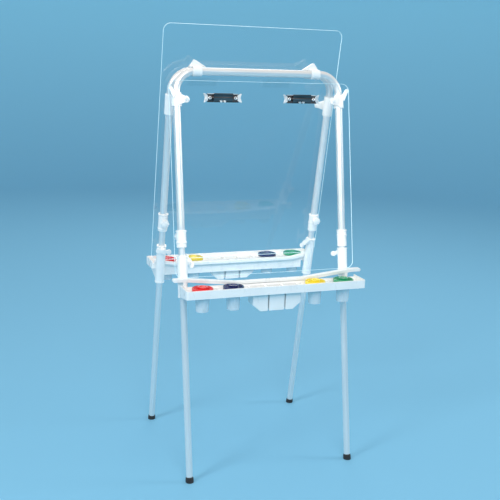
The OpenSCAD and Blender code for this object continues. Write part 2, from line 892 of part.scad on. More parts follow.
frame_tube(FRONT);  // front_frame_tube
frame_tube(REAR);  // rear_frame_tube
leg(LEFT, FRONT);  // front_left_leg
leg(RIGHT, FRONT);  // front_right_leg
leg(LEFT, REAR);  // rear_left_leg
leg(RIGHT, REAR);  // rear_right_leg
foot(LEFT, FRONT);  // front_left_foot
foot(RIGHT, FRONT);  // front_right_foot
foot(LEFT, REAR);  // rear_left_foot
foot(RIGHT, REAR);  // rear_right_foot
lock(LEFT, FRONT);  // front_left_lock
lock(RIGHT, FRONT);  // front_right_lock
lock(LEFT, REAR);  // rear_left_lock
lock(RIGHT, REAR);  // rear_right_lock
lock_knob(LEFT, FRONT);  // front_left_lock_knob
lock_knob(RIGHT, FRONT);  // front_right_lock_knob
lock_knob(LEFT, REAR);  // rear_left_lock_knob
lock_knob(RIGHT, REAR);  // rear_right_lock_knob
hinge_link(LEFT);  // left_hinge_link
hinge_link(RIGHT);  // right_hinge_link
board(FRONT);  // front_board
board(REAR);  // rear_board
board_clamps(FRONT);  // front_board_clamps
board_clamps(REAR);  // rear_board_clamps
board_bolts(FRONT);  // front_board_bolts
board_bolts(REAR);  // rear_board_bolts
thumb_nut(LEFT, FRONT);  // front_left_thumb_nut
thumb_nut(RIGHT, FRONT);  // front_right_thumb_nut
thumb_nut(LEFT, REAR);  // rear_left_thumb_nut
thumb_nut(RIGHT, REAR);  // rear_right_thumb_nut
clip_bodies();
clip_lever(LEFT);  // left_clip_lever
clip_lever(RIGHT);  // right_clip_lever
tray(FRONT);  // front_tray
tray(REAR);  // rear_tray
tray_sleeves(FRONT);  // front_tray_sleeves
tray_sleeves(REAR);  // rear_tray_sleeves
wing_knob(LEFT, FRONT);  // front_left_wing_knob
wing_knob(RIGHT, FRONT);  // front_right_wing_knob
wing_knob(LEFT, REAR);  // rear_left_wing_knob
wing_knob(RIGHT, REAR);  // rear_right_wing_knob
pot(0, FRONT);  // front_pot_1
pot(1, FRONT);  // front_pot_2
pot(2, FRONT);  // front_pot_3
pot(3, FRONT);  // front_pot_4
pot(0, REAR);  // rear_pot_1
pot(1, REAR);  // rear_pot_2
pot(2, REAR);  // rear_pot_3
pot(3, REAR);  // rear_pot_4
lid(0, FRONT, front_lid_colors[0]);  // front_lid_1
lid(1, FRONT, front_lid_colors[1]);  // front_lid_2
lid(2, FRONT, front_lid_colors[2]);  // front_lid_3
lid(3, FRONT, front_lid_colors[3]);  // front_lid_4
lid(0, REAR, rear_lid_colors[0]);  // rear_lid_1
lid(1, REAR, rear_lid_colors[1]);  // rear_lid_2
lid(2, REAR, rear_lid_colors[2]);  // rear_lid_3
lid(3, REAR, rear_lid_colors[3]);  // rear_lid_4
brush_box(FRONT);  // front_brush_box
brush_box(REAR);  // rear_brush_box
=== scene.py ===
"""Looks of the children's easel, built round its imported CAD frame. Metres, +Z up."""

import json
import math

import bmesh
import bpy
from mathutils import Matrix, Vector


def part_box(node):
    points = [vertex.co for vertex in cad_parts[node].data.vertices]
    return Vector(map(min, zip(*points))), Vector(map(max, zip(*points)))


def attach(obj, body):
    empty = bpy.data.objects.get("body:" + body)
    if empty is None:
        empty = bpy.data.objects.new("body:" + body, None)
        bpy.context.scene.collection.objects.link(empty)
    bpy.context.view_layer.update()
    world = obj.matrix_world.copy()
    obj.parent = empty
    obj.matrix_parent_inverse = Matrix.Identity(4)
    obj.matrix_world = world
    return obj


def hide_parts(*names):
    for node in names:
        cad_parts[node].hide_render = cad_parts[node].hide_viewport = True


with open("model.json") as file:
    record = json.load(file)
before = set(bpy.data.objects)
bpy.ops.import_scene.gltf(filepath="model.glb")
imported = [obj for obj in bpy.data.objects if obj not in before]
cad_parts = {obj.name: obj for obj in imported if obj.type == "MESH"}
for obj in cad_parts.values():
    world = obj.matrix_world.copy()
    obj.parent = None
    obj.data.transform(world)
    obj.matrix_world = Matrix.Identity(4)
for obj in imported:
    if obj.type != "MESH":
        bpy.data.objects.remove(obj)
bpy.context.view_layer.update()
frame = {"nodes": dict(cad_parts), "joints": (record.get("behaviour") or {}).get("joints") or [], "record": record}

JOINTS = {joint["name"]: joint for joint in frame["joints"]}
ENDS = ("front", "rear")
SIDES = ("left", "right")
MM = 0.001

# The rear frame's bar, the way down its legs and the way out through its board, all from the joints.
BAR = Vector(JOINTS["rear_fold"]["pos_m"])
DOWN = Vector(JOINTS["rear_right_leg_slide"]["axis"])
OUT = Vector(JOINTS["rear_right_thumb_nut_turn"]["axis"])
LEG_X = JOINTS["rear_right_lock_knob_turn"]["pos_m"][0]
LEG_LENGTH = BAR.z / -DOWN.z
# How far from a leg's axis the joint of a knob on that leg stands.
JOINT_REACH = 30 * MM


# ---- Places --------------------------------------------------------------------------------


def end_place(end):
    """From the rear of the object to the named end."""
    return Matrix.Diagonal((1, -1 if end == "front" else 1, 1, 1))


def side_place(side):
    return Matrix.Diagonal((-1 if side == "left" else 1, 1, 1, 1))


def leaning(end, side="right"):
    """From a frame's upright drawing to its place: x across, y outwards, z up the leg from the bar."""
    rear = Matrix(
        (
            (1, 0, 0, 0),
            (0, OUT.y, -DOWN.y, BAR.y),
            (0, OUT.z, -DOWN.z, BAR.z),
            (0, 0, 0, 1),
        )
    )
    return end_place(end) @ side_place(side) @ rear


def upright(point, end, side="right"):
    """A place on the object, taken back to its frame's upright drawing."""
    return leaning(end, side).inverted() @ Vector(point)


def upright_box(node, end, side="right"):
    """(lowest, highest) corner of a CAD node in its frame's upright drawing."""
    back = leaning(end, side).inverted()
    spots = [back @ vertex.co for vertex in frame["nodes"][node].data.vertices]
    low = Vector([min(spot[i] for spot in spots) for i in range(3)])
    high = Vector([max(spot[i] for spot in spots) for i in range(3)])
    return low, high


def facing_in(node, end):
    """A knob's own place: its root on the leg's axis, z the way that it points, y up the leg."""
    joint = JOINTS[f"{node}_turn"]
    inward = -Vector(joint["axis"])
    up = -(end_place(end).to_3x3() @ DOWN)
    across = up.cross(inward)
    turn = Matrix((across, up, inward)).transposed().to_4x4()
    return Matrix.Translation(Vector(joint["pos_m"]) - inward * JOINT_REACH) @ turn


def spots_in(node, place):
    """A CAD node's corner points in a place's own directions."""
    back = place.inverted()
    return [back @ vertex.co for vertex in frame["nodes"][node].data.vertices]


# ---- Mesh building -------------------------------------------------------------------------


def rounded(corners, steps=6):
    """A closed outline from (x, y, radius) corners, each turned into an arc."""
    points = []
    count = len(corners)
    for i, (x, y, radius) in enumerate(corners):
        here = Vector((x, y))
        if radius <= 0:
            points.append(here)
            continue
        back = (Vector(corners[i - 1][:2]) - here).normalized()
        ahead = (Vector(corners[(i + 1) % count][:2]) - here).normalized()
        half = back.angle(ahead) / 2
        middle = here + (back + ahead).normalized() * radius / math.sin(half)
        first = here + back * radius / math.tan(half) - middle
        last = here + ahead * radius / math.tan(half) - middle
        start = math.atan2(first.y, first.x)
        turn = (math.atan2(last.y, last.x) - start + math.pi) % (2 * math.pi) - math.pi
        for k in range(steps + 1):
            angle = start + turn * k / steps
            points.append(middle + radius * Vector((math.cos(angle), math.sin(angle))))
    return points


def rectangle(low, high, radius, steps=6):
    """A closed outline between two opposite (x, y) corners, with every corner an arc."""
    spots = [(low[0], low[1]), (high[0], low[1]), (high[0], high[1]), (low[0], high[1])]
    return rounded([(x, y, radius) for x, y in spots], steps)


def inset(outline, distance):
    """The outline moved inwards by a distance, for an outline that runs anticlockwise."""
    moved = []
    count = len(outline)
    for i, point in enumerate(outline):
        before = point - outline[i - 1]
        after = outline[(i + 1) % count] - point
        if before.length < 1e-9:
            before = after
        if after.length < 1e-9:
            after = before
        normals = [Vector((-way.y, way.x)).normalized() for way in (before, after)]
        middle = (normals[0] + normals[1]).normalized()
        moved.append(point + middle * distance / max(middle.dot(normals[0]), 0.3))
    return moved


def skin(loops, closed=False, caps=True):
    """A mesh through loops of the same number of points. Closed joins the last loop to the first."""
    bm = bmesh.new()
    rings = [[bm.verts.new(point) for point in loop] for loop in loops]
    count = len(rings[0])
    spans = len(rings) if closed else len(rings) - 1
    for i in range(spans):
        low, high = rings[i], rings[(i + 1) % len(rings)]
        for k in range(count):
            after = (k + 1) % count
            bm.faces.new((low[k], low[after], high[after], high[k]))
    if caps and not closed:
        bm.faces.new(rings[0][::-1])
        bm.faces.new(rings[-1])
    bmesh.ops.recalc_face_normals(bm, faces=bm.faces)
    return bm


def slab(outline, low, high, edge, steps=4):
    """The outline in x and z, thickened along y from low to high, with edges of that radius."""
    loops = []
    for k in range(steps + 1):
        angle = math.pi / 2 * k / steps
        loops.append((inset(outline, edge * (1 - math.sin(angle))), edge * (1 - math.cos(angle))))
    near = [[(p.x, low + depth, p.y) for p in shape] for shape, depth in loops]
    far = [[(p.x, high - depth, p.y) for p in shape] for shape, depth in reversed(loops)]
    return skin(near + far)


def raised(outline, low, high, edge_low, edge_high):
    """The outline in x and y, raised along z from low to high, with its own radius at each edge."""
    steps = 4
    loops = []
    for k in range(steps + 1):
        angle = math.pi / 2 * k / steps
        depth = edge_low * (1 - math.cos(angle))
        shape = inset(outline, edge_low * (1 - math.sin(angle)))
        loops.append([(p.x, p.y, low + depth) for p in shape])
    for k in range(steps + 1):
        angle = math.pi / 2 * (1 - k / steps)
        depth = edge_high * (1 - math.cos(angle))
        shape = inset(outline, edge_high * (1 - math.sin(angle)))
        loops.append([(p.x, p.y, high - depth) for p in shape])
    return skin(loops)


def circled(profile, steps):
    """Circles about z through (radius, height, fillet) corners."""
    return [
        [
            (p.x * math.cos(math.tau * k / steps), p.x * math.sin(math.tau * k / steps), p.y)
            for k in range(steps)
        ]
        for p in rounded(profile)
    ]


def ring_turn(profile, steps):
    """Turns a closed profile about z into a ring."""
    return skin(circled(profile, steps), closed=True)


def solid_turn(profile, steps=64):
    """Turns an open profile about z, closing it on the axis at both ends."""
    sharp = 1e-5
    start = (sharp, profile[0][1], 0)
    end = (sharp, profile[-1][1], 0)
    bm = skin(circled([start, *profile, end], steps))
    bmesh.ops.remove_doubles(bm, verts=bm.verts, dist=4 * sharp)
    return bm


def pointed(bm, axis):
    """Turns a mesh made along z to point along another axis."""
    bm.transform(Vector((0, 0, 1)).rotation_difference(Vector(axis)).to_matrix().to_4x4())
    return bm


def moved(bm, offset):
    bm.transform(Matrix.Translation(offset))
    return bm


def joined(*parts):
    """Several meshes as one."""
    whole = bmesh.new()
    for part in parts:
        scrap = bpy.data.meshes.new("scrap")
        part.to_mesh(scrap)
        part.free()
        whole.from_mesh(scrap)
        bpy.data.meshes.remove(scrap)
    return whole


def as_object(bm, name="scrap"):
    mesh = bpy.data.meshes.new(name)
    bm.to_mesh(mesh)
    bm.free()
    obj = bpy.data.objects.new(name, mesh)
    bpy.context.scene.collection.objects.link(obj)
    return obj


def settled(obj):
    """The object's mesh with its modifiers applied, as a bmesh; the object is removed."""
    bpy.context.view_layer.update()
    graph = bpy.context.evaluated_depsgraph_get()
    result = bmesh.new()
    result.from_object(obj, graph)
    mesh = obj.data
    bpy.data.objects.remove(obj)
    bpy.data.meshes.remove(mesh)
    return result


def cut(bm, *cutters, operation="DIFFERENCE"):
    """The mesh less its cutters, or joined to them."""
    obj = as_object(bm)
    tools = [as_object(cutter) for cutter in cutters]
    for tool in tools:
        boolean = obj.modifiers.new("cut", "BOOLEAN")
        boolean.operation = operation
        boolean.solver = "EXACT"
        boolean.object = tool
    result = settled(obj)
    for tool in tools:
        mesh = tool.data
        bpy.data.objects.remove(tool)
        bpy.data.meshes.remove(mesh)
    return result


def moulded(node, voxel, rounds):
    """A CAD node's shape with the soft edges of a moulding: evenly remeshed, then smoothed."""
    bm = bmesh.new()
    bm.from_mesh(frame["nodes"][node].data)
    bmesh.ops.remove_doubles(bm, verts=bm.verts, dist=1e-6)
    obj = as_object(bm)
    remesh = obj.modifiers.new("even", "REMESH")
    remesh.mode = "VOXEL"
    remesh.voxel_size = voxel
    soften = obj.modifiers.new("soften", "SMOOTH")
    soften.factor = 0.5
    soften.iterations = rounds
    return settled(obj)


def piece(name, bm, material, body, nodes, place=None, crease=32):
    """Puts a mesh in the scene as a piece that rides on a body and stands for some CAD nodes."""
    if place is not None:
        bm.transform(place)
        if place.determinant() < 0:
            bmesh.ops.reverse_faces(bm, faces=bm.faces)
    obj = as_object(bm, name)
    obj.data.name = name
    obj.data.shade_smooth()
    obj.data.set_sharp_from_angle(angle=math.radians(crease))
    normals = obj.modifiers.new("normals", "WEIGHTED_NORMAL")
    normals.keep_sharp = True
    normals.weight = 80
    for finish in material if isinstance(material, (list, tuple)) else [material]:
        obj.data.materials.append(finish)
    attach(obj, body)
    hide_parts(*nodes)


# ---- Materials -----------------------------------------------------------------------------


def shader(name):
    """A new material, its node tree and its Principled node."""
    finish = bpy.data.materials.new(name)
    finish.use_nodes = True
    tree = finish.node_tree
    return finish, tree, tree.nodes["Principled BSDF"]


def set_values(bsdf, **values):
    for name, value in values.items():
        bsdf.inputs[name.replace("_", " ")].default_value = value


def noise(tree, source, scale, detail, stretch=(1, 1, 1)):
    """A noise's value over the given coordinates, stretched along their axes."""
    mapping = tree.nodes.new("ShaderNodeMapping")
    mapping.inputs["Scale"].default_value = stretch
    tree.links.new(source, mapping.inputs["Vector"])
    texture = tree.nodes.new("ShaderNodeTexNoise")
    texture.inputs["Scale"].default_value = scale
    texture.inputs["Detail"].default_value = detail
    tree.links.new(mapping.outputs["Vector"], texture.inputs["Vector"])
    return texture.outputs["Fac"]


def object_space(tree):
    return tree.nodes.new("ShaderNodeTexCoord").outputs["Object"]


def ranged(tree, value, low, high, start=0.3, stop=0.7):
    """The value between start and stop, spread between low and high."""
    node = tree.nodes.new("ShaderNodeMapRange")
    node.inputs["From Min"].default_value = start
    node.inputs["From Max"].default_value = stop
    node.inputs["To Min"].default_value = low
    node.inputs["To Max"].default_value = high
    tree.links.new(value, node.inputs["Value"])
    return node.outputs["Result"]


def tinted(tree, value, first, second, start=0.3, stop=0.7):
    """Two colours blended by a value."""
    ramp = tree.nodes.new("ShaderNodeValToRGB")
    ramp.color_ramp.elements[0].position = start
    ramp.color_ramp.elements[1].position = stop
    ramp.color_ramp.elements[0].color = (*first, 1)
    ramp.color_ramp.elements[1].color = (*second, 1)
    tree.links.new(value, ramp.inputs["Fac"])
    return ramp.outputs["Color"]


def bumped(tree, bsdf, value, strength, distance):
    node = tree.nodes.new("ShaderNodeBump")
    node.inputs["Strength"].default_value = strength
    node.inputs["Distance"].default_value = distance
    tree.links.new(value, node.inputs["Height"])
    tree.links.new(node.outputs["Normal"], bsdf.inputs["Normal"])


def plastic(name, light, dark, rough, coat):
    """Moulded plastic: a faint cloud in the colour, uneven gloss and a fine moulded grain."""
    finish, tree, bsdf = shader(name)
    where = object_space(tree)
    cloud = noise(tree, where, 14, 4)
    tree.links.new(tinted(tree, cloud, dark, light), bsdf.inputs["Base Color"])
    wipe = noise(tree, where, 55, 5, (1, 1, 0.35))
    tree.links.new(ranged(tree, wipe, rough * 0.8, rough * 1.25), bsdf.inputs["Roughness"])
    grain = noise(tree, where, 900, 2)
    bumped(tree, bsdf, grain, 0.12, 0.0002)
    set_values(bsdf, Coat_Weight=coat, Coat_Roughness=0.12, IOR=1.5)
    return finish


def tube_metal(name, light, dark):
    """Satin aluminium with fine lines drawn along the tube, from the sweep's own coordinates."""
    rough = 0.32
    finish, tree, bsdf = shader(name)
    along = tree.nodes.new("ShaderNodeAttribute")
    along.attribute_name = "along"
    lines = noise(tree, along.outputs["Vector"], 260, 4, (1, 1, 0.012))
    cloud = noise(tree, along.outputs["Vector"], 9, 3)
    tree.links.new(tinted(tree, lines, dark, light), bsdf.inputs["Base Color"])
    tree.links.new(ranged(tree, cloud, rough * 0.85, rough * 1.2), bsdf.inputs["Roughness"])
    bumped(tree, bsdf, lines, 0.02, 0.00005)
    set_values(bsdf, Metallic=0.6)
    return finish


def rubber(name):
    finish, tree, bsdf = shader(name)
    where = object_space(tree)
    dust = noise(tree, where, 60, 5)
    tree.links.new(
        tinted(tree, dust, (0.012, 0.012, 0.013), (0.035, 0.035, 0.036)), bsdf.inputs["Base Color"]
    )
    tree.links.new(ranged(tree, dust, 0.55, 0.8), bsdf.inputs["Roughness"])
    bumped(tree, bsdf, noise(tree, where, 700, 3), 0.25, 0.0003)
    return finish


def clip_metal(name, light, dark, rough):
    """Plated sheet steel with fine scratches."""
    finish, tree, bsdf = shader(name)
    where = object_space(tree)
    scratches = noise(tree, where, 120, 6, (0.15, 1, 1))
    tree.links.new(tinted(tree, scratches, dark, light), bsdf.inputs["Base Color"])
    tree.links.new(ranged(tree, scratches, rough * 0.6, rough * 1.6), bsdf.inputs["Roughness"])
    bumped(tree, bsdf, scratches, 0.08, 0.0001)
    set_values(bsdf, Metallic=1.0)
    return finish


def lets_light_through(tree, bsdf, tint):
    """Lets light from lamps pass, so that a clear piece casts only a faint shadow."""
    output = tree.nodes["Material Output"]
    path = tree.nodes.new("ShaderNodeLightPath")
    clear = tree.nodes.new("ShaderNodeBsdfTransparent")
    clear.inputs["Color"].default_value = (*tint, 1)
    mix = tree.nodes.new("ShaderNodeMixShader")
    tree.links.new(path.outputs["Is Shadow Ray"], mix.inputs["Fac"])
    tree.links.new(bsdf.outputs["BSDF"], mix.inputs[1])
    tree.links.new(clear.outputs["BSDF"], mix.inputs[2])
    tree.links.new(mix.outputs["Shader"], output.inputs["Surface"])


def clear_sheet(name):
    """Clear acrylic: smooth, with faint wipe marks in its gloss."""
    finish, tree, bsdf = shader(name)
    where = object_space(tree)
    wipes = noise(tree, where, 7, 6, (1, 1, 0.3))
    tree.links.new(
        tinted(tree, wipes, (0.985, 0.995, 1.0), (0.993, 0.998, 1.0)), bsdf.inputs["Base Color"]
    )
    tree.links.new(ranged(tree, wipes, 0.0, 0.012, 0.45, 0.8), bsdf.inputs["Roughness"])
    set_values(bsdf, Transmission_Weight=1.0, IOR=1.49)
    lets_light_through(tree, bsdf, (0.985, 0.99, 0.99))
    return finish


def sheet_edge(name):
    """The sheet's sawn edge: a pale cyan colour, and a faint emission that paints in a glow, so that it shows as a
    bright pale line.
    """
    finish, tree, bsdf = shader(name)
    where = object_space(tree)
    saw = noise(tree, where, 400, 3)
    tree.links.new(
        tinted(tree, saw, (0.62, 0.90, 0.98), (0.80, 0.97, 1.0)), bsdf.inputs["Base Color"]
    )
    tree.links.new(ranged(tree, saw, 0.25, 0.45), bsdf.inputs["Roughness"])
    bumped(tree, bsdf, saw, 0.2, 0.0002)
    # Painted glow: the edge emits a little light of its own.
    set_values(bsdf, Transmission_Weight=0.35, IOR=1.49, Emission_Strength=0.35)
    bsdf.inputs["Emission Color"].default_value = (0.70, 0.93, 1.0, 1)
    return finish


def frosted(name):
    """Frosted polypropylene of the pots."""
    finish, tree, bsdf = shader(name)
    where = object_space(tree)
    cloud = noise(tree, where, 30, 4)
    tree.links.new(
        tinted(tree, cloud, (0.84, 0.92, 0.96), (0.93, 0.97, 1.0)), bsdf.inputs["Base Color"]
    )
    tree.links.new(ranged(tree, cloud, 0.22, 0.38), bsdf.inputs["Roughness"])
    bumped(tree, bsdf, noise(tree, where, 800, 2), 0.1, 0.0002)
    tree.links.new(ranged(tree, cloud, 0.34, 0.46), bsdf.inputs["Alpha"])
    set_values(bsdf, IOR=1.45, Coat_Weight=0.3, Coat_Roughness=0.2)
    return finish


WHITE = plastic("white_plastic", (0.93, 0.93, 0.92), (0.88, 0.885, 0.88), 0.30, coat=0.2)
TUBE = tube_metal("upper_tube_metal", (0.91, 0.90, 0.89), (0.83, 0.825, 0.82))
LEG = tube_metal("leg_tube_metal", (0.92, 0.915, 0.91), (0.84, 0.84, 0.84))
RUBBER = rubber("foot_rubber")
SHEET = clear_sheet("clear_sheet")
SHEET_EDGE = sheet_edge("sheet_edge")
FROSTED = frosted("frosted_pot")
CLIP = clip_metal("clip_metal", (0.16, 0.14, 0.14), (0.07, 0.06, 0.06), 0.24)
# Bright copy of the clip's steel: painted highlights on its tips, rivet rings, top edge and lever lobes.
CLIP_PAINTED_HIGHLIGHT = clip_metal("clip_painted_highlight_metal", (0.98, 0.98, 0.97), (0.86, 0.86, 0.85), 0.36)
LEVER = clip_metal("lever_metal", (0.22, 0.20, 0.20), (0.10, 0.09, 0.09), 0.18)
LIDS = {
    "lid_red": plastic("lid_red", (0.80, 0.022, 0.025), (0.66, 0.014, 0.018), 0.16, coat=0.7),
    "lid_navy": plastic("lid_navy", (0.012, 0.020, 0.13), (0.007, 0.012, 0.085), 0.16, coat=0.7),
    "lid_yellow": plastic("lid_yellow", (0.93, 0.74, 0.03), (0.85, 0.64, 0.02), 0.16, coat=0.7),
    "lid_green": plastic("lid_green", (0.022, 0.36, 0.17), (0.012, 0.27, 0.12), 0.16, coat=0.7),
}


# ---- Frames, legs and feet -----------------------------------------------------------------


TUBE_WALL = 1.2 * MM


def bent_path(half_width, radius, bottom):
    """Points along an inverted U and the way it runs at each, from one leg's end to the other's."""
    steps = 20
    corner = half_width - radius
    right = [(Vector((half_width, 0, bottom)), 0.0), (Vector((half_width, 0, -radius)), 0.0)]
    for k in range(1, steps + 1):
        angle = math.pi / 2 * k / steps
        spot = Vector(
            (corner + radius * math.cos(angle), 0, -radius + radius * math.sin(angle))
        )
        right.append((spot, angle))
    left = [(Vector((-spot.x, 0, spot.z)), math.pi - angle) for spot, angle in reversed(right)]
    return right + left


def tube(path, outer):
    """A hollow tube along a path in the x-z plane, with its own coordinates for drawn lines."""
    around = 48
    length = 0.0
    stations = []
    for i, (spot, angle) in enumerate(path):
        if i:
            length += (spot - path[i - 1][0]).length
        across = Vector((math.cos(angle), 0, math.sin(angle)))
        stations.append((spot, across, length))
    bm = bmesh.new()
    layer = bm.verts.layers.float_vector.new("along")
    rings = []
    for radius, order in ((outer, stations), (outer - TUBE_WALL, stations[::-1])):
        for spot, across, run in order:
            ring = []
            for k in range(around):
                turn = math.tau * k / around
                arm = across * math.cos(turn) + Vector((0, 1, 0)) * math.sin(turn)
                vertex = bm.verts.new(spot + arm * radius)
                vertex[layer] = (radius * math.cos(turn), radius * math.sin(turn), run)
                ring.append(vertex)
            rings.append(ring)
    for i, low in enumerate(rings):
        high = rings[(i + 1) % len(rings)]
        for k in range(around):
            after = (k + 1) % around
            bm.faces.new((low[k], low[after], high[after], high[k]))
    bmesh.ops.recalc_face_normals(bm, faces=bm.faces)
    return bm


def frame_tubes(end):
    node = f"{end}_frame_tube"
    low, high = upright_box(node, end)
    bend = 68 * MM
    bm = tube(bent_path(LEG_X, bend, low.z), high.y)
    piece(f"{end}_bent_tube", bm, TUBE, f"{end}_frame", [node], leaning(end), 50)


def leg_tube(end, side):
    node = f"{end}_{side}_leg"
    low, high = upright_box(node, end, side)
    path = [(Vector((LEG_X, 0, low.z + (high.z - low.z) * k / 8)), 0.0) for k in range(9)]
    bm = tube(path, high.y)
    place = leaning(end, side)
    piece(f"{end}_{side}_leg_tube", bm, LEG, node, [node], place, 50)


def foot(end, side):
    """A rubber foot with two grip ribs, cut level where it stands."""
    node = f"{end}_{side}_foot"
    body = f"{end}_{side}_leg"
    low, high = upright_box(node, end, side)
    outer = (high.x - low.x) / 2
    bore = upright_box(body, end, side)[1].y + 0.05 * MM
    top = high.z
    sole = -LEG_LENGTH + 5 * MM
    deep = low.z - 6 * MM
    rib = 0.6 * MM
    bm = ring_turn(
        [
            (bore, top, 0.3 * MM),
            (outer - 1.6 * MM, top, 1.0 * MM),
            (outer - rib, top - 4 * MM, 0.4 * MM),
            (outer - rib, top - 6 * MM, 0.3 * MM),
            (outer, top - 6.6 * MM, 0.3 * MM),
            (outer, top - 8.6 * MM, 0.3 * MM),
            (outer - rib, top - 9.2 * MM, 0.3 * MM),
            (outer - rib, top - 10.8 * MM, 0.3 * MM),
            (outer, top - 11.4 * MM, 0.3 * MM),
            (outer, deep, 0),
            (0.4 * MM, deep, 0),
            (0.4 * MM, sole, 0),
            (bore, sole, 0),
        ],
        56,
    )
    bm = moved(bm, (LEG_X, 0, 0))
    bm.transform(leaning(end, side))
    everything = bm.verts[:] + bm.edges[:] + bm.faces[:]
    sliced = bmesh.ops.bisect_plane(
        bm, geom=everything, plane_co=(0, 0, 0.0002), plane_no=(0, 0, -1), clear_outer=True
    )
    rim = [item for item in sliced["geom_cut"] if isinstance(item, bmesh.types.BMEdge)]
    bmesh.ops.holes_fill(bm, edges=rim, sides=0)
    bmesh.ops.recalc_face_normals(bm, faces=bm.faces)
    piece(f"{end}_{side}_rubber_foot", bm, RUBBER, body, [node])


# ---- Moulded fittings ----------------------------------------------------------------------


def moulded_fitting(node, body, voxel=1.0 * MM, rounds=4):
    bm = moulded(node, voxel, rounds)
    piece(f"{node}_moulding", bm, WHITE, body, [node], crease=60)


def fluted(radius, depth, lobes, steps=12):
    """A round outline with shallow finger flutes."""
    points = []
    count = lobes * steps
    for k in range(count):
        turn = math.tau * k / count
        dip = max(0.0, -math.cos(lobes * turn)) ** 2
        reach = radius - depth * dip
        points.append(Vector((reach * math.cos(turn), reach * math.sin(turn))))
    return points


def lock_knob(end, side):
    """A fluted knob with a domed cap and a screw that presses on the leg."""
    node = f"{end}_{side}_lock_knob"
    place = facing_in(node, end)
    spots = spots_in(node, place)
    tip = min(spot.z for spot in spots)
    top = max(spot.z for spot in spots)
    radius = max(math.hypot(spot.x, spot.y) for spot in spots)
    face = top - 13 * MM
    stud_radius = 3 * MM
    collar_radius = 7.6 * MM
    grip = raised(fluted(radius, 2.2 * MM, 8), face, top - 2 * MM, 0.8 * MM, 1.6 * MM)
    cap = moved(
        solid_turn(
            [
                (radius * 0.62, 0, 0.3 * MM),
                (radius * 0.62, 3.6 * MM, 1.2 * MM),
                (radius * 0.3, 4.0 * MM, 0.2 * MM),
            ]
        ),
        (0, 0, top - 4 * MM),
    )
    stud = solid_turn([(stud_radius, 0, 0.8 * MM), (stud_radius, face - tip + MM, 0)], 24)
    stud = moved(stud, (0, 0, tip))
    collar = solid_turn([(collar_radius, 0, 0.3 * MM), (collar_radius, 3 * MM, 0.3 * MM)], 40)
    collar = moved(collar, (0, 0, face - 0.1 * MM))
    piece(f"{node}_fluted", joined(grip, cap, stud, collar), WHITE, node, [node], place)


def thumb_nut(end, side):
    """A fluted nut on a board bolt, with a low rim round its bore."""
    node = f"{end}_{side}_thumb_nut"
    low, high = upright_box(node, end, side)
    middle = upright(JOINTS[f"{node}_turn"]["pos_m"], end, side)
    radius = (high.z - low.z) / 2
    bore_radius = 3.1 * MM
    rim_height = 2.4 * MM
    grip = slab(fluted(radius, 1.3 * MM, 10, 10), low.y + rim_height / 2, high.y, 1.0 * MM)
    bore = pointed(solid_turn([(bore_radius, 0, 0), (bore_radius, 30 * MM, 0)], 32), (0, 1, 0))
    bore = moved(bore, (0, low.y - 10 * MM, 0))
    rim = pointed(
        ring_turn(
            [
                (bore_radius, 0, 0.2 * MM), (radius * 0.66, 0, 0.2 * MM),
                (radius * 0.62, rim_height, 0.8 * MM), (bore_radius, rim_height, 0.5 * MM),
            ],
            40,
        ),
        (0, -1, 0),
    )
    rim = moved(rim, (0, low.y + rim_height, 0))
    bm = joined(cut(grip, bore), rim)
    bm = moved(bm, (middle.x, 0, middle.z))
    place = leaning(end, side)
    piece(f"{node}_fluted", bm, WHITE, node, [node], place)


# ---- Boards --------------------------------------------------------------------------------


def board(end):
    """A clear sheet with round corners, a fine bright edge and a hole for each clamp bolt."""
    node = f"{end}_board"
    low, high = upright_box(node, end)
    corner = 25 * MM
    drill_radius = 3.3 * MM
    outline = rectangle((low.x, low.z), (high.x, high.z), corner, 14)
    sheet = slab(outline, low.y, high.y, 0.7 * MM, 3)
    drills = []
    for side in SIDES:
        middle = upright(JOINTS[f"{end}_{side}_thumb_nut_turn"]["pos_m"], end)
        drill = solid_turn([(drill_radius, 0, 0), (drill_radius, 60 * MM, 0)], 32)
        drill = pointed(drill, (0, 1, 0))
        drills.append(moved(drill, (middle.x, 0, middle.z)))
    bm = cut(sheet, *drills)
    for face in bm.faces:
        if abs(face.normal.y) < 0.999:
            face.material_index = 1
    piece(
        f"{end}_clear_board", bm, [SHEET, SHEET_EDGE], f"{end}_frame", [node],
        leaning(end),
    )


def board_bolts(end):
    """Domed bolts with a cross slot, one on each side, through the board and the clamp's ear."""
    node = f"{end}_board_bolts"
    low, high = upright_box(node, end)
    parts = []
    head = 6.5 * MM
    for side in SIDES:
        middle = upright(JOINTS[f"{end}_{side}_thumb_nut_turn"]["pos_m"], end)
        face = high.y - 3 * MM
        bolt = pointed(
            solid_turn(
                [
                    (3.0 * MM, 0, 0.6 * MM), (3.0 * MM, face - low.y, 0),
                    (head, face - low.y, 0.4 * MM), (head, face - low.y + 1.0 * MM, 0.7 * MM),
                    (head * 0.55, high.y - low.y, 1.5 * MM),
                ],
                40,
            ),
            (0, 1, 0),
        )
        bolt = moved(bolt, (0, low.y, 0))
        slots = []
        for turn in (0, math.pi / 2):
            bar = rectangle((-3.4 * MM, -0.6 * MM), (3.4 * MM, 0.6 * MM), 0)
            bar = raised(bar, -1.2 * MM, 2 * MM, 0.1 * MM, 0.1 * MM)
            bar.transform(Matrix.Rotation(turn, 4, "Z"))
            slots.append(moved(pointed(bar, (0, 1, 0)), (0, high.y, 0)))
        parts.append(moved(cut(bolt, *slots), (middle.x, 0, middle.z)))
    piece(
        f"{end}_domed_bolts", joined(*parts), WHITE, f"{end}_frame", [node],
        leaning(end),
    )


# ---- Paper clips ---------------------------------------------------------------------------


